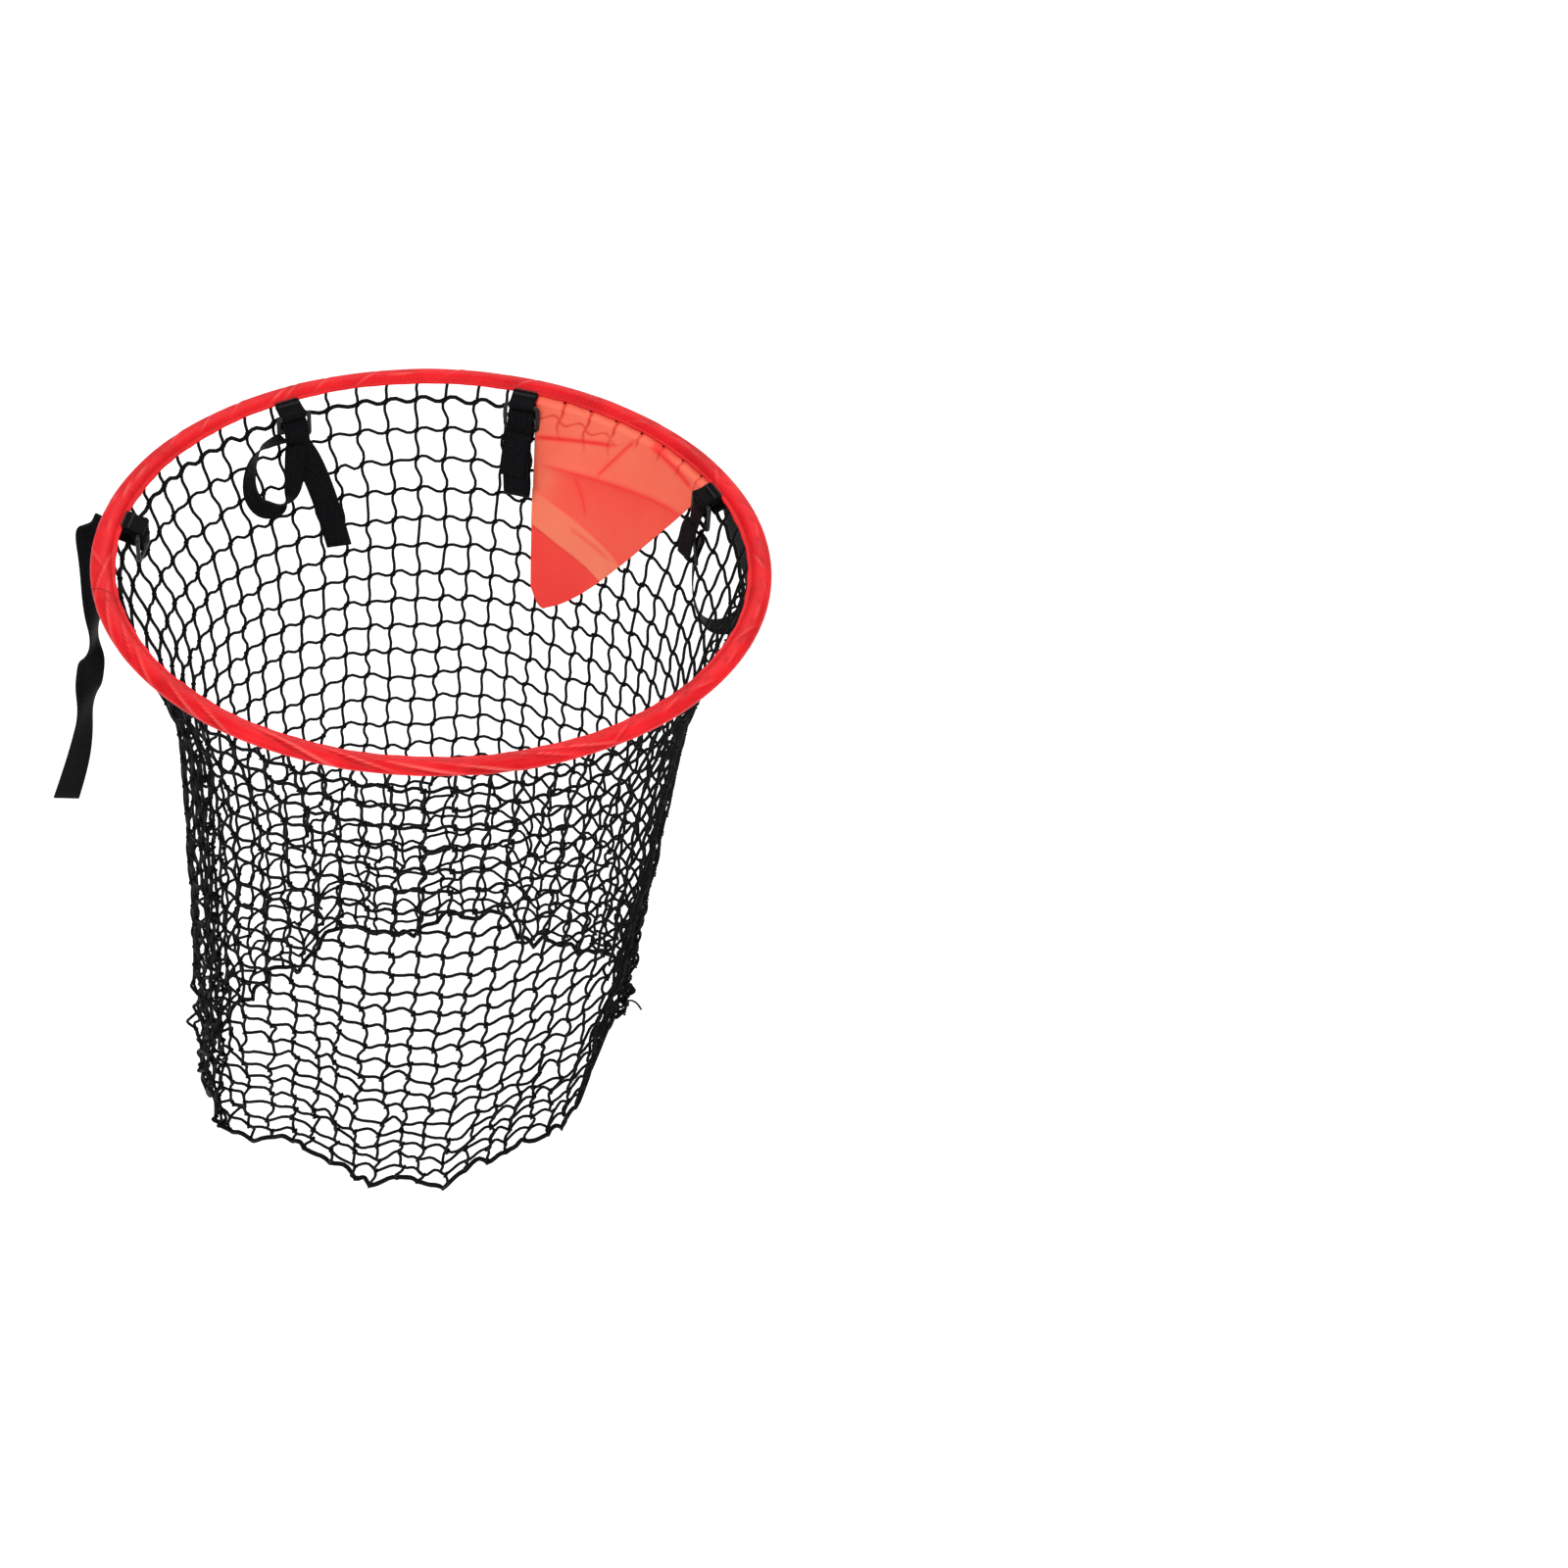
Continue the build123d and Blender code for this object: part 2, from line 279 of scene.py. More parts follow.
def cord_material():
    f = Finish("net_twine", Specular_IOR_Level=0.05)
    phase = f.math("MULTIPLY", f.layer("along"), 2 * math.pi / 0.0024)
    twist = f.math(
        "ADD",
        f.math("MULTIPLY", f.math("SINE", phase), f.layer("round_cos")),
        f.math("MULTIPLY", f.math("COSINE", phase), f.layer("round_sin")),
    )
    fuzz = f.noise(900, 2)
    colour = f.ramp(
        f.math("ADD", f.math("MULTIPLY", twist, 0.25), fuzz),
        (0.2, (0.002, 0.002, 0.0025)), (0.6, (0.005, 0.005, 0.006)), (1.0, (0.014, 0.014, 0.016)),
    )
    height = f.math("ADD", twist, f.math("MULTIPLY", fuzz, 0.6))
    return f.finish(colour, f.node("MapRange", 0, fuzz, 0.3, 0.7, 0.50, 0.66), height, 0.00016, 0.8)


def webbing_material():
    f = Finish("black_webbing", Specular_IOR_Level=0.03)
    along, across = f.layer("along"), f.layer("across")
    chevron = f.math("MULTIPLY", f.math("PINGPONG", across, 0.0031), 0.55)
    rib = wave(f, f.math("ADD", along, chevron), 0.0019)
    column = wave(f, across, 0.0021)
    edge = f.node("MapRange", 0, f.math("ABSOLUTE", across), 0.0108, 0.0122, 0.0, 1.0)
    height = f.math("MULTIPLY", rib, f.math("SUBTRACT", 1.0, f.math("MULTIPLY", edge, 0.6)))
    height = f.math("ADD", height, f.math("MULTIPLY", column, 0.25))
    fuzz = f.noise(500, 3)
    colour = f.ramp(
        f.math("ADD", f.math("MULTIPLY", height, 0.28), fuzz),
        (0.15, (0.001, 0.001, 0.0015)), (0.55, (0.0035, 0.0035, 0.004)), (1.0, (0.015, 0.015, 0.018)),
    )
    return f.finish(colour, f.node("MapRange", 0, fuzz, 0.3, 0.7, 0.46, 0.60), height, 0.00022, 0.8)


def plastic_material():
    f = Finish("buckle_plastic", Specular_IOR_Level=0.25, Coat_Weight=0.06, Coat_Roughness=0.3)
    grain, cloud = f.noise(2600, 2), f.noise(60, 3)
    colour = f.ramp(cloud, (0.3, (0.006, 0.006, 0.007)), (0.7, (0.013, 0.013, 0.015)))
    return f.finish(colour, f.node("MapRange", 0, cloud, 0.3, 0.7, 0.26, 0.40), grain, 0.00004, 0.5)


def thread_material(name, dark, light):
    f = Finish(name)
    slant = f.node("TexWave", "Fac", f.place(), 900.0, 2.0, 1.0, bands_direction="DIAGONAL")
    fuzz = f.noise(1500, 2)
    colour = f.ramp(f.math("MULTIPLY", f.math("ADD", slant, fuzz), 0.5), (0.2, dark), (0.8, light))
    return f.finish(colour, f.node("MapRange", 0, fuzz, 0.3, 0.7, 0.45, 0.6), slant, 0.00008, 0.8)


def metal_material(name, dark, light, scale):
    f = Finish(name, Metallic=1.0)
    streak = f.noise(scale, 5, 0.7)
    colour = f.ramp(streak, (0.3, dark), (0.7, light))
    return f.finish(colour, f.node("MapRange", 0, streak, 0.2, 0.8, 0.22, 0.42), streak, 0.00003, 0.6)


def floor_material():
    f = Finish("studio_floor", Roughness=0.85, Specular_IOR_Level=0.2, Emission_Strength=0.35)
    f.shader.inputs["Emission Color"].default_value = (1, 1, 1, 1)
    cloud = f.noise(1.2, 2)
    return f.finish(f.ramp(cloud, (0.3, (0.90, 0.90, 0.90)), (0.7, (0.93, 0.93, 0.93))))


SATIN = satin_material()
FLAP = flap_material()
TWINE = cord_material()
WEBBING = webbing_material()
PLASTIC = plastic_material()
RED_THREAD = thread_material("red_thread", (0.50, 0.004, 0.008), (0.85, 0.05, 0.04))
BLACK_THREAD = thread_material("black_thread", (0.004, 0.004, 0.005), (0.03, 0.03, 0.033))
STEEL = metal_material("spring_steel", (0.32, 0.33, 0.35), (0.52, 0.53, 0.55), 350)
FERRULE = metal_material("zinc_ferrule", (0.42, 0.43, 0.45), (0.66, 0.66, 0.68), 700)

# ------------------------------------------------------------------ the net

COLUMNS = 60
ROWS = 25
TWINE_R = 0.00160
HEM_MEAN = 0.620           # depth of the hem before its wave
COLUMN_START = 0.63        # columns from +X to the first one
BAR_POINTS = 7
# columns where the slack net hangs in folds: azimuth, columns gathered, depth it starts and is full
FOLDS = (
    (math.radians(209.5), 2.5, 0.0, 0.08),
    (math.radians(349), 2.2, 0.10, 0.34),
)
CORNER_AZ = math.radians(214)  # where the hem's corner hangs down
# the hem's wave: (waves round the hem, height, phase). The rows of 1 to 11 waves are the result of a
# least-squares fit made by another script; those of 16 and 21 waves were chosen by hand.
HEM_WAVES = (
    (1, 0.042, 0.26), (2, 0.0176, -0.71), (3, 0.0238, 0.61),
    (5, 0.0075, 0.08), (8, 0.0086, 2.93), (11, 0.0071, -1.79), (16, 0.0050, 0.80), (21, 0.0040, 2.20),
)


def net_section(z):
    """Centre x, half width and half depth of the hanging net at height z."""
    flare = np.exp(-((z / 0.095) ** 2))
    left = -(0.234 + 0.043 * flare + 0.006 * smoothstep(-0.40, -0.66, z))
    right = 0.249 + 0.106 * z + 0.028 * flare
    return (right + left) / 2, (right - left) / 2, 0.177 + 0.080 * (1 + z / NET_DEPTH) + 0.020 * flare


def hem_wave(angle):
    rise = sum(h * np.cos(k * angle + p) for k, h, p in HEM_WAVES)
    away = (angle - CORNER_AZ + math.pi) % (2 * math.pi) - math.pi
    rise = rise - 0.042 * np.exp(-((away / 0.24) ** 2))
    return np.maximum(rise, -0.068)


def on_net(angle, z, out=0.0):
    """A point of the net's surface, its outward direction, and the direction along its rows."""
    x, half_w, half_d = net_section(z)
    outward = unit(np.stack([np.cos(angle) / half_w, np.sin(angle) / half_d, 0 * angle], -1))
    point = np.stack([x + half_w * np.cos(angle), half_d * np.sin(angle), z + 0 * angle], -1)
    along = np.stack([-outward[..., 1], outward[..., 0], 0 * angle], -1)
    return point + outward * np.expand_dims(out + 0 * angle, -1), outward, along


def row_heights():
    pitch = np.full(ROWS, 0.0298)
    pitch[0] = 0.0165
    pitch[11:] = np.linspace(0.0280, 0.0172, ROWS - 11)
    heights = np.concatenate([[0], np.cumsum(pitch)])
    return -HEM_MEAN * heights / heights[-1]


def knots():
    """Angle and height of every knot, column by row, and how far it stands out."""
    column = np.arange(COLUMNS)[:, None] + COLUMN_START
    z = row_heights()[None, :] + 0 * column
    depth = -z
    slack = smoothstep(0.18, 0.60, depth)
    out = np.zeros_like(z)
    place = column + 0 * z
    for azimuth, gathered, start, full in FOLDS:
        centre = azimuth / (2 * math.pi) * COLUMNS
        away = (place - centre + COLUMNS / 2) % COLUMNS - COLUMNS / 2
        pull = 0.92 * smoothstep(start, full, depth) * np.exp(-((away / gathered) ** 2))
        place = place - away * pull
        out += 0.0040 * pull * np.where(np.arange(COLUMNS)[:, None] % 2, 1, -1)
    place = place + slack * rng.normal(0, 0.10, z.shape) + 0.03 * rng.normal(0, 1, z.shape)
    angle = place * 2 * math.pi / COLUMNS
    for waves, phase in ((3, 0.4), (7, 2.1), (10, 4.0)):
        out += 0.0022 * smoothstep(0.1, 0.6, depth) * np.cos(waves * angle + phase + 6 * depth)
    out += slack * rng.normal(0, 0.0020, z.shape)
    out[:, 0] = 0.0030
    out[:, 1] = 0
    share = (depth / HEM_MEAN) ** 2.2
    z = z + share * hem_wave(angle) + (0.0009 + 0.0012 * slack) * rng.normal(0, 1, z.shape)
    z[:, 0] = -0.0013
    return angle, z, out


def net_bars(angle, z, out):
    """Centre lines of every bar between two knots, and an outward direction for each point."""
    t = np.linspace(0, 1, BAR_POINTS)
    slack = smoothstep(0.15, 0.60, -z)[..., None]

    def between(a, b):
        return a[..., None] * (1 - t) + b[..., None] * t

    def random(size, shape):
        return size * rng.normal(0, 1, shape)[..., None]

    def on_surface(start, end):
        """The net's surface along the bars between two sets of knots, each (angle, z, out)."""
        return on_net(*(between(a, b) for a, b in zip(start, end)))

    one_wave, half_wave = np.sin(2 * math.pi * t), np.sin(math.pi * t)
    # verticals: an S from knot to knot
    shape = z[:, 1:].shape
    s = slack[:, :-1]
    point, outward, along = on_surface(
        (angle[:, :-1], z[:, :-1], out[:, :-1]), (angle[:, 1:], z[:, 1:], out[:, 1:]),
    )
    side = (0.0016 + random(0.0006, shape)) * one_wave * (1 - 0.35 * s)
    side = side + random(0.0018, shape) * s * half_wave
    side[:, 0] *= 0.35
    bow = (random(0.0006, shape) + s * random(0.0032, shape)) * half_wave
    upright = point + along * side[..., None] + outward * bow[..., None]
    # rows: they dip after a knot and come down into the next; lower down they arch
    after = np.roll(angle, -1, axis=0)
    after[-1] += 2 * math.pi
    nz, nout = np.roll(z, -1, axis=0), np.roll(out, -1, axis=0)
    shape = z[:, 1:].shape
    s = slack[:, 1:]
    point2, outward2, _ = on_surface(
        (angle[:, 1:], z[:, 1:], out[:, 1:]), (after[:, 1:], nz[:, 1:], nout[:, 1:]),
    )
    lift = -(0.0026 + random(0.0006, shape)) * one_wave * (1 - 0.55 * s)
    lift = lift + s * (0.0038 + random(0.0013, shape)) * half_wave
    lift = lift + s * random(0.0006, shape) * np.sin(3 * math.pi * t)
    bow2 = (random(0.0006, shape) + s * random(0.0036, shape)) * half_wave
    row = point2 + outward2 * bow2[..., None]
    row[..., 2] += lift
    return (upright, outward), (row, outward2)


def netting():
    angle, z, out = knots()
    (upright, facing), (row, facing2) = net_bars(angle, z, out)
    lines = np.concatenate([upright.reshape(-1, BAR_POINTS, 3), row.reshape(-1, BAR_POINTS, 3)])
    face = np.concatenate([facing.reshape(-1, BAR_POINTS, 3), facing2.reshape(-1, BAR_POINTS, 3)])
    radius = np.full(lines.shape[:2], TWINE_R)
    first_row = upright.shape[0] * upright.shape[1] + ROWS * np.arange(COLUMNS)
    radius[first_row] *= 1.3
    return add_with_tubes("netting", lines, radius, 5, face), (angle, z, out), row


def add_with_tubes(name, lines, radius, sides, out, material=None):
    vertices, faces, point = tubes(lines, radius, sides, out)
    return add_mesh(name, vertices, faces, material or TWINE, point)


def knot_coils(angle, z, out):
    """A short coil of twine over every crossing, on the slant."""
    point, outward, along = on_net(angle[:, 1:], z[:, 1:], out[:, 1:])
    centre, outward, along = (a.reshape(-1, 1, 3) for a in (point, outward, along))
    up = np.zeros_like(centre)
    up[..., 2] = 1
    tilt = math.radians(45) + rng.normal(0, 0.22, (len(centre), 1, 1))
    axis = along * np.cos(tilt) + up * np.sin(tilt)
    side = np.cross(axis, outward)
    t = np.linspace(0, 1, 10)[None, :, None]
    turn = 2 * math.pi * 1.55 * t
    reach = 0.00138 + 0.0001 * rng.normal(0, 1, (len(centre), 1, 1))
    lines = centre + axis * (t - 0.5) * 0.0044 + reach * (outward * np.cos(turn) + side * np.sin(turn))
    return add_with_tubes("net_knots", lines, 0.00128, 5, np.broadcast_to(axis, lines.shape))


def hem_cord(row):
    """The cord run through the last meshes, a little thicker than the twine."""
    line = row[:, -1, :-1].reshape(-1, 3).copy()
    step = np.arange(len(line))
    line[:, 2] -= 0.0009 + 0.0007 * np.sin(step * 0.9)
    closed = np.concatenate([line, line[:1]])
    out = closed - np.array([0, 0, closed[0, 2]])
    out[:, 2] = 0
    vertices, faces, point = tubes(closed[None], 0.0024, 7, unit(out)[None])
    return add_mesh("hem_cord", vertices, faces, TWINE, point)


def lacing():
    """A cord wound round the net's two meeting edges, with its knotted end low down."""
    turns = 46
    t = np.linspace(0, 1, turns * 9)
    z = -0.012 - (HEM_MEAN - 0.016) * t
    angle = math.radians(-5) - 0.07 * smoothstep(0.10, 0.45, -z) + 0 * z
    z = z + np.abs(z / HEM_MEAN) ** 2.2 * hem_wave(angle)
    point, outward, along = on_net(angle, z)
    turn = 2 * math.pi * turns * t
    line = point + outward * (0.0021 * np.cos(turn))[:, None] + along * (0.0030 * np.sin(turn))[:, None]
    end_z = -0.545
    base, facing, sideways = on_net(np.array(math.radians(-8.5)), np.array(end_z))
    s = np.linspace(0, 1, 24)[:, None]
    loop = 2 * math.pi * 1.7 * s
    knot = base + facing * (0.0035 + 0.0028 * np.cos(loop)) + sideways * 0.0026 * np.sin(loop)
    knot = knot + np.array([0, 0, 1]) * (s - 0.5) * 0.006
    up = np.array([0, 0, 1.0])
    tail = base + facing * (0.003 + 0.017 * s) + sideways * 0.004 * np.sin(3 * s)
    tail = tail + up * (0.003 - 0.010 * s * s)
    parts = [
        tubes(line[None], 0.0013, 6, np.broadcast_to(outward, line.shape)[None]),
        tubes(knot[None], 0.0011, 6, np.broadcast_to(up, knot.shape)[None]),
        tubes(tail[None], 0.0011, 6, np.broadcast_to(up, tail.shape)[None]),
    ]
    return add_mesh("side_lacing", *joined(parts)[:2], TWINE, joined(parts)[2])


def build_net():
    net, at, row = netting()
    angle, z, out = at
    coils = knot_coils(angle, z, out)
    lace = lacing()
    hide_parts("net")
    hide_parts("net_side_lacing")
    for piece in (net, coils, lace):
        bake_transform(piece)
    hem = hem_cord(row)
    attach(hem, "net_hem")
    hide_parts("net_hem_cord")


# ------------------------------------------------------------------ the sleeve

SLEEVE_STEPS = 900


def sleeve_section():
    """Radial and vertical offsets round the sleeve's section, from its inner edge under the tube and back."""
    turn = np.radians(np.linspace(-171, 171, 30))
    tube_x, tube_z = TUBE_HALF_W * np.cos(turn), TUBE_HALF_H * np.sin(turn)
    tab_x = np.array([-0.0131, -0.0126, -0.0116, -0.0104])
    tab_z = np.array([0.0004, 0.00085, 0.00088, 0.00086])
    x = np.concatenate([tab_x, tube_x, tab_x[::-1]])
    z = np.concatenate([-tab_z, tube_z, tab_z[::-1]])
    return x, z


def creases(along, around):
    """Height of the twisted cloth's folds over the sleeve, and their painted shade and painted highlights."""
    whole = 2 * math.pi * TUBE_R
    height = 0 * along
    tone = 0 * along

    def crease(azimuth, at, slope, reach, width, depth):
        away = (along - math.radians(azimuth) * TUBE_R + whole / 2) % whole - whole / 2
        off = (around - at) - slope * away
        window = np.exp(-((away / reach) ** 2))
        fold = np.exp(-np.abs(off) / width) * window
        crest = np.exp(-(((off - 1.9 * width) / width) ** 2)) * window
        # the second value is painted shade in the fold and a painted highlight along its crest
        return depth * (0.7 * crest - fold), fold - 0.8 * crest

    # long diagonal twists from the left round to the front
    azimuth = -172.0
    while azimuth < -58:
        strength = 0.55 + 0.45 * math.exp(-(((azimuth + 98) / 34) ** 2))
        h, t = crease(
            azimuth, rng.uniform(-0.001, 0.011), rng.uniform(-0.32, -0.16),
            rng.uniform(0.020, 0.040), rng.uniform(0.0008, 0.0014), 0.0018 * strength,
        )
        height += h
        tone += 1.1 * strength * t
        azimuth += rng.uniform(6.0, 12.0)
    # shorter pulls elsewhere, both ways
    for azimuth in np.arange(-56, 188, 7.5):
        back = 60 < azimuth < 175
        h, t = crease(
            azimuth + rng.uniform(-3, 3), rng.uniform(0.003, 0.013),
            rng.uniform(-0.5, 0.5) + (0.25 if back else 0),
            rng.uniform(0.008, 0.018), rng.uniform(0.0010, 0.0016), rng.uniform(0.0004, 0.0009),
        )
        height += h
        tone += (0.6 if back else 0.4) * t
    # a dimple over every net cord inside the seam, with painted shade in it
    for k in range(COLUMNS):
        azimuth = (k + COLUMN_START) * 360 / COLUMNS
        deep = 0.30 + 0.70 * (azimuth > 270 or azimuth < 62)
        away = (along - math.radians(azimuth) * TUBE_R + whole / 2) % whole - whole / 2
        at = 0.0115 + rng.uniform(-0.0012, 0.0012)
        dimple = np.exp(-((away / 0.0042) ** 2) - ((around - at - 0.25 * away) / 0.0016) ** 2)
        height -= 0.0007 * deep * dimple
        tone += 0.55 * deep * dimple
    return height, np.clip(tone, -1, 1)


def build_sleeve():
    x, z = sleeve_section()
    azimuth = np.linspace(-math.pi, math.pi, SLEEVE_STEPS + 1)
    closed_x, closed_z = np.append(x, x[0]), np.append(z, z[0])
    arc = np.concatenate([[0], np.cumsum(np.hypot(np.diff(closed_x), np.diff(closed_z)))])
    middle = arc[:-1][np.argmax(x)]
    along, around = np.meshgrid(azimuth * TUBE_R, arc - middle, indexing="ij")
    height, tone = creases(along, around)
    free = smoothstep(-0.0095, -0.0065, closed_x)
    height = height * free
    normal_x, normal_z = np.gradient(z), -np.gradient(x)
    normal = unit(np.stack([normal_x, normal_z], -1))
    # the inner edge is drawn in between the net's cords, and the tube is a little loose
    scallop = 0.0007 * np.abs(np.sin(azimuth * COLUMNS / 2)) + 0.0004 * np.sin(azimuth * 17 + 1)
    loose = 1 + 0.05 * np.sin(azimuth * 5 + 0.7) + 0.04 * np.sin(azimuth * 13)
    loose = loose + 0.02 * np.sin(azimuth * 31 + 2)
    rx = x[None, :] + normal[None, :, 0] * height[:-1, :-1]
    rz = z[None, :] * (1 + (loose[:-1, None] - 1) * free[None, :-1]) + normal[None, :, 1] * height[:-1, :-1]
    inner = smoothstep(-0.0110, -0.0131, x)[None, :]
    rx = rx + inner * scallop[:-1, None]
    cos, sin = np.cos(azimuth[:-1])[:, None], np.sin(azimuth[:-1])[:, None]
    points = np.stack([(TUBE_R + rx) * cos, (TUBE_R + rx) * sin, rz], -1)
    faces, corner = torus_grid(points, along=along, around=around, tone=tone)
    sleeve = add_mesh("sleeve_cloth", points, faces, SATIN, corner=corner)
    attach(sleeve, "hoop")
    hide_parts("hoop_sleeve")


def build_seam():
    """Running stitches along the sleeve's seam, on both faces."""
    count = 520
    azimuth = 2 * math.pi * (np.arange(count)[:, None] + np.linspace(0.09, 0.91, 5)[None, :]) / count
    radius = SEAM_R + 0.0032 + 0.00012 * rng.normal(0, 1, (count, 1))
    lift = CLOTH + 0.00005 + 0.00030 * np.sin(np.linspace(0, math.pi, 5))[None, :]
    lines = np.concatenate([
        np.stack([radius * np.cos(azimuth), radius * np.sin(azimuth), side * lift + 0 * azimuth], -1)
        for side in (1, -1)
    ])
    up = np.broadcast_to(np.array([0, 0, 1.0]), lines.shape)
    seam = add_with_tubes("seam_stitches", lines, 0.00024, 5, up, RED_THREAD)
    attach(seam, "hoop")
    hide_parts("sleeve_seam_thread")


# ------------------------------------------------------------------ webbing

ACROSS = np.array([-1, -0.97, -0.6, -0.2, 0.2, 0.6, 0.97, 1]) * WEB_W / 2
EDGE = np.array([0.45, 1, 1, 1, 1, 1, 1, 0.45])
ROUTE_RESOLUTION = 10      # points of a strap's line for each control point


def to_hoop(points, azimuth, lean=0.0):
    """Points drawn X outwards, Y along the hoop and Z up, leaned about the centre bar, at their azimuth."""
    p = np.array(points, float)
    cos, sin = math.cos(lean), math.sin(lean)
    dx, dz = p[:, 0] - BUCKLE_R, p[:, 2] - (BUCKLE_TOP - BAR_GAP)
    x = BUCKLE_R + dx * cos + dz * sin
    z = BUCKLE_TOP - BAR_GAP - dx * sin + dz * cos
    a = math.radians(azimuth)
    return np.stack([x * math.cos(a) - p[:, 1] * math.sin(a), x * math.sin(a) + p[:, 1] * math.cos(a), z], -1)


def spline(points):
    """The points of a smooth NURBS line through the route's control points."""
    curve = bpy.data.curves.new("route", "CURVE")
    curve.dimensions = "3D"
    nurbs = curve.splines.new("NURBS")
    nurbs.points.add(len(points) - 1)
    nurbs.points.foreach_set("co", np.c_[points, np.ones(len(points))].ravel())
    nurbs.order_u = 3
    nurbs.use_endpoint_u = True
    nurbs.resolution_u = ROUTE_RESOLUTION
    holder = bpy.data.objects.new("route", curve)
    mesh = bpy.data.meshes.new_from_object(holder)
    line = np.array([v.co for v in mesh.vertices])
    bpy.data.objects.remove(holder)
    bpy.data.curves.remove(curve)
    bpy.data.meshes.remove(mesh)
    return line


def ribbon(name, points, sides, width=1.0):
    """Webbing along a route; sides holds its direction across at each control point."""
    line = spline(points)
    edge = spline(points + 0.01 * unit(sides)) - line
    tangent = unit(np.gradient(line, axis=0))
    across = unit(edge - (edge * tangent).sum(-1, keepdims=True) * tangent)
    grid = line[:, None] + across[:, None] * (ACROSS * width)[None, :, None]
    vertices, faces = shell(grid, WEB_T * EDGE[None, :])
    step = np.linalg.norm(np.diff(line, axis=0, prepend=line[:1]), axis=1)
    along = np.repeat(np.cumsum(step)[:, None], len(ACROSS), axis=1)
    point = {
        "along": np.tile(along.ravel(), 2),
        "across": np.tile(np.broadcast_to(ACROSS, along.shape).ravel(), 2),
    }
    made = add_mesh(name, vertices, faces, WEBBING, point)
    return made, line


def sideways(azimuth, count, tilt=None):
    """count directions along the hoop at azimuth, each turned by tilt degrees towards its outside."""
    tilt = np.radians(np.zeros(count) if tilt is None else np.array(tilt, float))
    local = np.stack([np.sin(tilt), np.cos(tilt), 0 * tilt], -1)
    a = math.radians(azimuth)
    x, y, z = local.T
    return np.stack([x * math.cos(a) - y * math.sin(a), x * math.sin(a) + y * math.cos(a), z], -1)


def round_bar(z, radius, first, last, count):
    """Control points round the bar at height z, from one angle to another, in degrees from outwards."""
    turn = np.radians(np.linspace(first, last, count))
    return [(BUCKLE_R + radius * math.cos(t), 0, z + radius * math.sin(t)) for t in turn]


def build_anchors():
    for number, azimuth in STRAP_AZ.items():
        route = [(0.2788, 0, 0.0011), (0.2745, 0, -0.0002), (0.2700, 0, -0.0026)]
        route += round_bar(BUCKLE_TOP, 0.0034, 70, 320, 7)
        route += [(0.2712, 0, -0.0062), (0.2750, 0, -0.0034), (0.2788, 0, -0.0019)]
        points = to_hoop(route, azimuth)
        loop, _ = ribbon(f"anchor_webbing_{number}", points, sideways(azimuth, len(points)), 0.98)
        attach(loop, "hoop")
        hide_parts(f"anchor_loop_{number}")


def build_tacks():
    """Zigzag bar tacks that hold the anchor loops to the seam, and one across each loop's leg."""
    parts = []
    for azimuth in STRAP_AZ.values():
        for x, z, rise, half in ((SEAM_R + 0.0014, 0.0021, 0.0, 0.0009), (0.2731, 0.0009, 0.62, 0.0008)):
            steps = 34
            y = np.repeat(np.linspace(-0.0110, 0.0110, steps), 2)
            side = np.tile([-half, half, half, -half], steps // 2)
            route = np.stack([x + side, y, z + rise * side + 0.0001 * (np.arange(len(y)) % 2)], -1)
            line = to_hoop(route, azimuth)
            up = np.broadcast_to(np.array([0, 0, 1.0]), line.shape)
            parts.append(tubes(line[None], 0.00022, 4, up[None]))
    vertices, faces, point = joined(parts)
    tacks = add_mesh("bar_tacks", vertices, faces, BLACK_THREAD, point)
    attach(tacks, "hoop")
    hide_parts("anchor_stitching")


def bridge(rings):
    """Closed skin through rings of the shape (n, m, 3), which closes both ways."""
    faces, _ = torus_grid(rings)
    return rings.reshape(-1, 3), faces


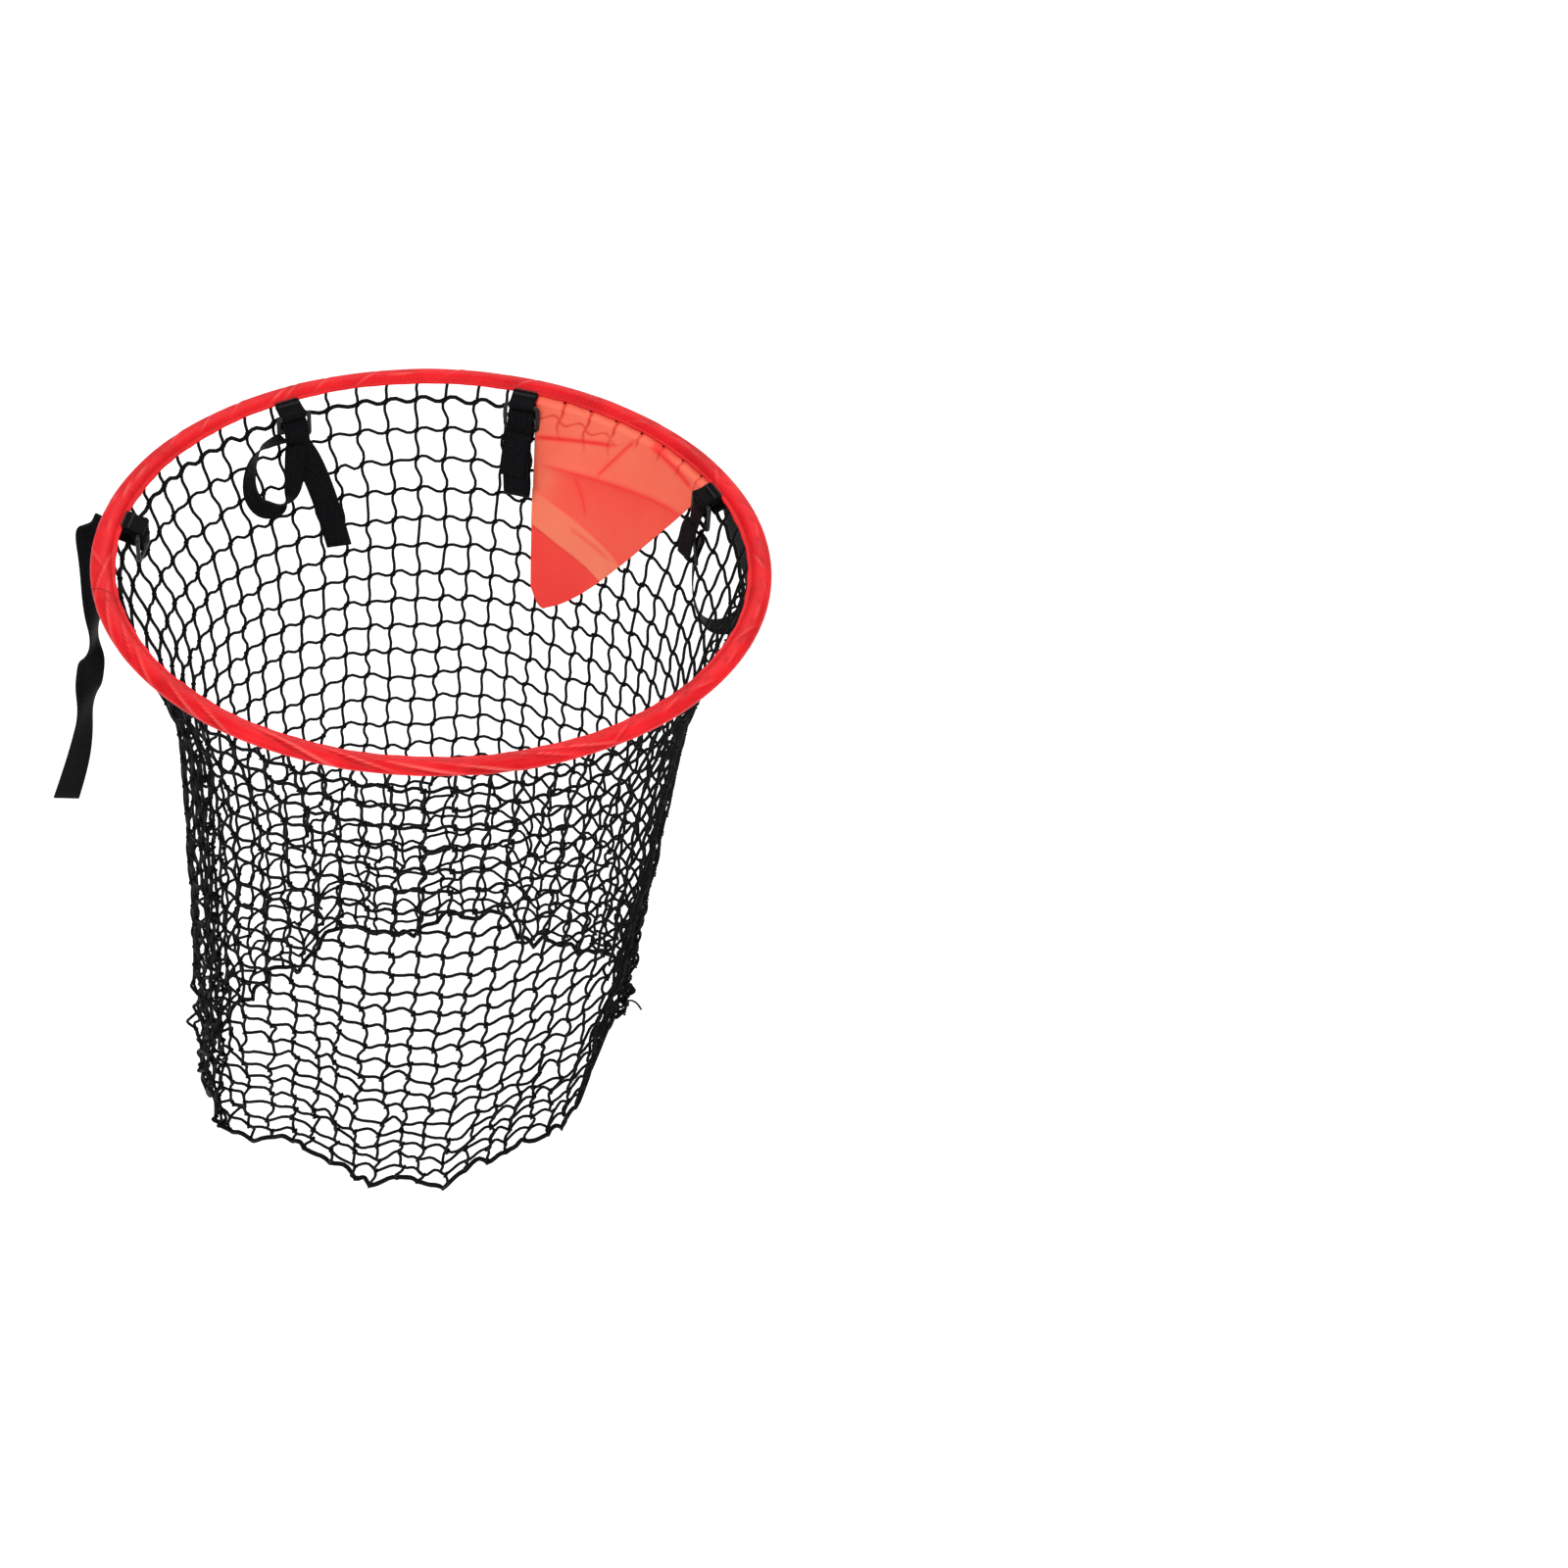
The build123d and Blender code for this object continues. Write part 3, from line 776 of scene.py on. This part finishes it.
def build_buckles():
    """Moulded three-bar slides: a rounded frame and a ribbed centre bar."""
    half_h, half_w, corner = BAR_GAP, BUCKLE_W / 2 - 0.0019, 0.0034
    outline = []
    for cx, cz, start in ((1, 1, 0), (-1, 1, 90), (-1, -1, 180), (1, -1, 270)):
        for t in np.radians(np.linspace(start, start + 90, 9)):
            outline.append((
                cx * (half_w - corner) + corner * math.cos(t),
                cz * (half_h - corner) + corner * math.sin(t),
                math.cos(t), math.sin(t),
            ))
    outline = np.array(outline)
    dense = []
    for k, p in enumerate(outline):
        q = outline[(k + 1) % len(outline)]
        steps = 6 if np.hypot(*(q - p)[:2]) > 0.004 else 1
        dense += [p + (q - p) * s / steps for s in range(steps)]
    dense = np.array(dense)
    turn = 2 * math.pi * np.arange(16) / 16
    power = 0.62
    section_in = 0.00182 * np.sign(np.cos(turn)) * np.abs(np.cos(turn)) ** power
    section_out = 0.00180 * np.sign(np.sin(turn)) * np.abs(np.sin(turn)) ** power
    centre_z = BUCKLE_TOP - BAR_GAP
    outward = dense[:, 2:] / np.linalg.norm(dense[:, 2:], axis=1)[:, None]
    for number, azimuth in STRAP_AZ.items():
        y = dense[:, 0, None] + outward[:, 0, None] * section_in
        z = centre_z + dense[:, 1, None] + outward[:, 1, None] * section_in
        x = BUCKLE_R + section_out[None, :] + 0 * y
        local = np.stack([x, y, z], -1)
        rings = to_hoop(local.reshape(-1, 3), azimuth).reshape(local.shape)
        vertices, faces = bridge(rings)
        across = np.linspace(-half_w, half_w, 97)
        ribs = 1 - 0.16 * (np.cos(across * 2 * math.pi / 0.0021) > 0.55) * (np.abs(across) < 0.0135)
        line = to_hoop(np.stack([BUCKLE_R + 0 * across, across, centre_z + 0 * across], -1), azimuth)
        up = np.broadcast_to(np.array([0, 0, 1.0]), line.shape)
        bar_v, bar_f, _ = tubes(line[None], (0.00190 * ribs)[None], 14, up[None])
        v, f, _ = joined([(vertices, faces, {}), (bar_v, bar_f, {})])
        buckle = add_mesh(f"slide_buckle_{number}", v, f, PLASTIC)
        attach(buckle, f"buckle_{number}")
        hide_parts(f"buckle_{number}")


CENTRE_Z = BUCKLE_TOP - BAR_GAP


def strap_1():
    azimuth = STRAP_AZ[1]
    points = to_hoop(round_bar(CENTRE_Z, 0.0034, 20, 340, 9), azimuth)
    turn, _ = ribbon("strap_1_turn", points, sideways(azimuth, len(points)), 0.98)
    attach(turn, "buckle_1")
    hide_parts("strap_1_thread")
    route = [
        (0.2680, 0, -0.0185), (0.2740, 0, -0.0160), (0.2800, 0, -0.0135), (0.2900, 0, -0.0110),
        (0.3000, 0, -0.0100), (0.3065, 0, -0.0075), (0.3110, 0, -0.0060), (0.3140, 0, -0.0160),
        (0.3120, 0, -0.0500), (0.3140, 0, -0.0950), (0.3180, 0, -0.1400), (0.3250, 0, -0.1800),
        (0.3330, 0, -0.2220), (0.3400, 0, -0.2650), (0.3500, 0, -0.3050), (0.3620, 0, -0.3420),
    ]
    tilt = [0, 0, 0, 0, 8, 20, 34, 48, 56, 44, -14, 88, 12, 40, 60, 66]
    points = to_hoop(route, azimuth)
    tail, line = ribbon("strap_1_webbing", points, sideways(azimuth, len(points), tilt))
    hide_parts("strap_1_under", "strap_1_tail")
    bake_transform(tail)


def over_bar(drop):
    """Control points from behind the centre bar, over it through both windows, over the bottom bar."""
    return [
        (0.2682, 0, -0.0250), (0.2686, 0, -0.0170), (0.2665, 0, -0.0122), (0.2630, 0, -0.0122),
        (0.2606, 0, -0.0170), (0.2607, 0, -0.0240), (0.2607, 0, -0.0320), (LEAD_X, 0, -drop),
    ]


def hung_strap(number, name, nodes, route, sides, width=1.0):
    points = to_hoop(route, STRAP_AZ[number], STRAP_LEAN)
    made, line = ribbon(name, points, sides, width)
    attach(made, f"strap_{number}")
    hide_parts(*nodes)


def strap_2():
    azimuth = STRAP_AZ[2]
    route = over_bar(0.038) + [
        (LEAD_X, -0.008, -0.054), (LEAD_X, -0.016, -0.084),
        (LEAD_X + 0.001, -0.023, -0.120), (LEAD_X, -0.027, -0.152),
    ]
    tilt = [0] * 8 + [12, 28, 36, 38]
    sides = sideways(azimuth, len(route), tilt)
    hung_strap(2, "strap_2_webbing", ["strap_2_tail"], route, sides)
    route = [
        (0.2565, 0.016, -0.0235), (0.2575, 0.027, -0.0245), (0.2590, 0.043, -0.0300),
        (0.2575, 0.055, -0.0460), (0.2555, 0.060, -0.0670), (0.2550, 0.052, -0.0860),
        (0.2560, 0.033, -0.0920), (0.2570, 0.018, -0.0850), (0.2580, 0.011, -0.0700),
        (0.2585, 0.007, -0.0500), (0.2580, 0.004, -0.0350),
    ]
    tilt = [-28, -30, -36, -34, -32, -36, -38, -24, -8, 0, 0]
    sides = sideways(azimuth, len(route), tilt)
    hung_strap(2, "strap_2_loop_webbing", ["strap_2_loop"], route, sides, 0.88)


def strap_3():
    azimuth = STRAP_AZ[3]
    x = LEAD_X
    route = over_bar(0.040) + [
        (x, -0.001, -0.056), (x + 0.0008, -0.002, -0.076), (x, -0.004, -0.088), (x - 0.0050, -0.005, -0.098),
        (x - 0.0110, -0.005, -0.094), (x - 0.0130, -0.004, -0.080), (x - 0.0120, -0.002, -0.064),
        (x - 0.0085, -0.001, -0.048), (x - 0.0050, 0, -0.035),
    ]
    tail_route = [
        (x - 0.0062, 0, -0.033), (x - 0.0105, 0, -0.046), (x - 0.0142, 0, -0.060), (x - 0.0156, 0, -0.074),
    ]
    points = to_hoop(tail_route, azimuth, STRAP_LEAN)
    tail, _ = ribbon("strap_3_end", points, sideways(azimuth, len(points)))
    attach(tail, "strap_3")
    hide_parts("strap_3_tail")
    sides = sideways(azimuth, len(route))
    hung_strap(3, "strap_3_webbing", ["strap_3_loop"], route, sides)


def strap_4():
    """Two short ends inside the net, and the slack in a ring outside it."""
    azimuth = STRAP_AZ[4]
    for name, route, tilt in (
        ("strap_4_end", over_bar(0.038) + [
            (LEAD_X, -0.006, -0.046), (LEAD_X + 0.001, -0.015, -0.056), (LEAD_X + 0.001, -0.022, -0.066),
        ], 20),
        ("strap_4_end_2", [
            (0.2588, 0.001, -0.0320), (0.2590, 0.002, -0.0440),
            (0.2600, 0.001, -0.0560), (0.2600, -0.001, -0.0690),
        ], 2),
    ):
        points = to_hoop(route, azimuth, STRAP_LEAN)
        tilts = np.linspace(0, tilt, len(points))
        end, _ = ribbon(name, points, sideways(azimuth, len(points), tilts), 0.98)
        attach(end, "strap_4")
    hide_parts("strap_4_tail")
    route = [
        (0.2722, 0, -0.0172), (0.2755, 0, -0.0160), (0.2800, 0, -0.0140), (0.2880, 0, -0.0124),
        (0.2945, 0, -0.0165), (0.2990, 0, -0.0380), (0.3100, 0, -0.0680), (0.3230, 0, -0.1010),
        (0.3340, 0, -0.1390), (0.3210, 0, -0.1620), (0.3000, 0, -0.1680), (0.2770, 0, -0.1570),
        (0.2640, 0, -0.1240), (0.2605, 0, -0.0950), (0.2620, 0, -0.0700), (0.2685, 0, -0.0490),
    ]
    tilt = [0, 0, 0, 0, -6, -16, -20, -20, -18, -10, 0, 10, 22, 26, 26, 20]
    points = to_hoop(route, azimuth)
    ring, line = ribbon("strap_4_loop_webbing", points, sideways(azimuth, len(points), tilt))
    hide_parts("strap_4_under", "strap_4_loop")
    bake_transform(ring)


# ------------------------------------------------------------------ the flap

FLAP_STEPS = (190, 150)
FLAP_FLAT = (0.225, 0.240)
FLAP_LEFT_AZ = (69.7, 65.0)    # the left edge, top and bottom
FLAP_RIGHT_AZ = (23.3, 60.0)   # the right edge, top and tip
FLAP_LEFT_DROP = 0.190
FLAP_RIGHT_DROP = 0.213


def crease_line(v, at, half_width):
    return np.exp(-(((v - at) / half_width) ** 2))


def flap_tone(u, v):
    """Painted light and shade of the cloth's folds, and the cloth's height."""
    line_1 = 0.33 - 0.19 * u
    line_2 = 0.46 + 0.015 * u
    line_3 = 0.645 - 0.030 * u
    below_1 = smoothstep(-0.006, 0.010, v - line_1) * smoothstep(0.08, 0.30, u)
    below_2 = smoothstep(-0.005, 0.005, v - line_2)
    below_3 = smoothstep(-0.005, 0.005, v - line_3)
    # painted shade below fold line 1, painted light between lines 2 and 3, painted shade below line 3, and
    # painted shade along each line
    tone = 0.26 + 0.34 * below_1 * np.exp(-np.maximum(v - line_1, 0) / 0.45)
    tone = tone * (1 - below_2) + 0.10 * below_2
    tone = tone * (1 - below_3) + 0.74 * below_3
    fade = smoothstep(0.03, 0.16, u) * smoothstep(1.02, 0.90, u)
    tone += 0.30 * crease_line(v, line_1, 0.010) * fade + 0.22 * crease_line(v, line_2, 0.006)
    tone += 0.25 * crease_line(v, line_3, 0.007)
    # painted shade along the short wrinkles
    for u0, v0, u1, v1, dark in (
        (0.0, 0.20, 0.44, 0.085, 0.70), (0.43, 0.235, 0.52, 0.02, 0.50), (0.60, 0.01, 0.93, 0.045, 0.60),
        (0.42, 0.515, 0.90, 0.500, 0.30), (0.30, 0.29, 0.50, 0.42, 0.22),
    ):
        run = ((u - u0) * (u1 - u0) + (v - v0) * (v1 - v0)) / ((u1 - u0) ** 2 + (v1 - v0) ** 2)
        off = np.hypot(u - u0 - run * (u1 - u0), v - v0 - run * (v1 - v0))
        window = smoothstep(-0.05, 0.12, run) * smoothstep(1.05, 0.88, run)
        tone += dark * window * np.exp(-((off / 0.010) ** 2))
    height = 0.0016 * crease_line(v, line_1, 0.03) * fade + 0.0012 * below_2 * (1 - below_3)
    height += 0.0022 * np.sin(math.pi * v) * np.sin(3.1 * u + 0.6) ** 2
    return tone, height


def painted_cord_shadows(azimuth, depth, u, v):
    """Painted shadows of the cords of the net behind, seen through the flap, 0 to 1."""
    column = azimuth / 6 - COLUMN_START + 0.07 * np.sin(depth * 210)
    row = (depth - 0.0165) / 0.0298 + 0.12 * np.sin(column * 2 * math.pi)
    upright = np.exp(-(((column - np.round(column)) * 0.028 / 0.0013) ** 2))
    level = np.exp(-(((row - np.round(row)) * 0.030 / 0.0012) ** 2)) * (row > -0.4)
    near_corner = smoothstep(0.19, 0.10, v) * smoothstep(0.56, 0.30, u)
    near_seam = smoothstep(0.065, 0.025, v)
    return np.clip(np.maximum(upright, level) * near_corner + upright * near_seam, 0, 1)


def build_flap():
    nu, nv = FLAP_STEPS
    u, v = np.meshgrid(np.linspace(0, 1, nu), np.linspace(0, 1, nv) ** 1.35, indexing="ij")
    left = FLAP_LEFT_AZ[0] + (FLAP_LEFT_AZ[1] - FLAP_LEFT_AZ[0]) * v
    right = FLAP_RIGHT_AZ[0] + (FLAP_RIGHT_AZ[1] - FLAP_RIGHT_AZ[0]) * v
    azimuth = left * (1 - u) + right * u
    depth = 0.0008 + FLAP_LEFT_DROP * v * (1 - u) + FLAP_RIGHT_DROP * v * (1.46 - 0.46 * v) * u
    depth += v ** 10 * (0.006 * np.sin(math.pi * u) - 0.005 * u ** 6)
    tone, height = flap_tone(u, v)
    at_seam = smoothstep(0.0055, 0.0010, depth)
    points, facing, _ = on_net(np.radians(azimuth), -depth, -0.0046 + 0.0088 * at_seam)
    points = points - facing * (height * (1 - at_seam))[..., None]
    vertices, faces = shell(points, 0.0006)
    flap = add_mesh("flap_cloth", vertices, faces, FLAP, {
        "along": np.tile((v * FLAP_FLAT[1]).ravel(), 2),
        "across": np.tile((u * FLAP_FLAT[0] * (1 - v)).ravel(), 2),
        "tone": np.tile(np.clip(tone, 0, 1).ravel(), 2),
        # painted shadows of the net's cords, seen through the cloth
        "cords": np.tile((0.85 * painted_cord_shadows(azimuth, depth, u, v)).ravel(), 2),
    })
    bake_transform(flap)
    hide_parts("corner_flap")


# ------------------------------------------------------------------ stage


def build_stage():
    floor = add_mesh(
        "floor", [(-6, -6, -0.95), (6, -6, -0.95), (6, 6, -0.95), (-6, 6, -0.95)], [(0, 1, 2, 3)],
        floor_material(), smooth=False,
    )
    world = bpy.data.worlds.new("studio")
    bpy.context.scene.world = world
    world.use_nodes = True
    background = world.node_tree.nodes["Background"]
    background.inputs[0].default_value = (1.0, 1.0, 1.0, 1)
    background.inputs[1].default_value = 0.55
    for name, place, size, power in (
        ("key", (-1.6, -2.2, 3.0), 1.8, 85),
        ("fill", (2.4, -1.4, 2.2), 2.4, 40),
        ("back", (0.4, 2.6, 2.4), 2.0, 40),
    ):
        light = bpy.data.lights.new(name, "AREA")
        light.size = size
        light.energy = power
        lamp = bpy.data.objects.new(name, light)
        lamp.location = place
        direction = -(lamp.location)
        direction.z -= 0.25
        lamp.rotation_mode = "QUATERNION"
        lamp.rotation_quaternion = direction.to_track_quat("-Z", "Y")
        bpy.context.scene.collection.objects.link(lamp)


def build_camera():
    yaw, pitch, roll = (math.radians(a) for a in (9.67, 40.71, 6.35))
    forward = np.array([math.sin(yaw) * math.cos(pitch), math.cos(yaw) * math.cos(pitch), -math.sin(pitch)])
    level = np.array([math.cos(yaw), -math.sin(yaw), 0.0])
    above = np.cross(level, forward)
    right = level * math.cos(roll) + above * math.sin(roll)
    up = -level * math.sin(roll) + above * math.cos(roll)
    data = bpy.data.cameras.new("camera")
    data.sensor_width = 36
    data.lens = 62.19
    data.clip_end = 50
    camera = bpy.data.objects.new("camera", data)
    camera.matrix_world = Matrix([
        (right[0], up[0], -forward[0], 0.0),
        (right[1], up[1], -forward[1], -1.968),
        (right[2], up[2], -forward[2], 1.446),
        (0, 0, 0, 1),
    ])
    bpy.context.scene.collection.objects.link(camera)
    bpy.context.scene.camera = camera


def dress_cad():
    """Finishes for the CAD nodes that stay as they are."""
    for node, material in (("hoop_wire", STEEL), ("wire_ferrule", FERRULE)):
        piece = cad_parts[node]
        for slot in piece.material_slots:
            slot.material = material


bpy.context.scene.view_settings.view_transform = "Standard"
build_camera()
build_stage()
dress_cad()
build_net()
build_sleeve()
build_seam()
build_anchors()
build_tacks()
build_buckles()
strap_1()
strap_2()
strap_3()
strap_4()
build_flap()
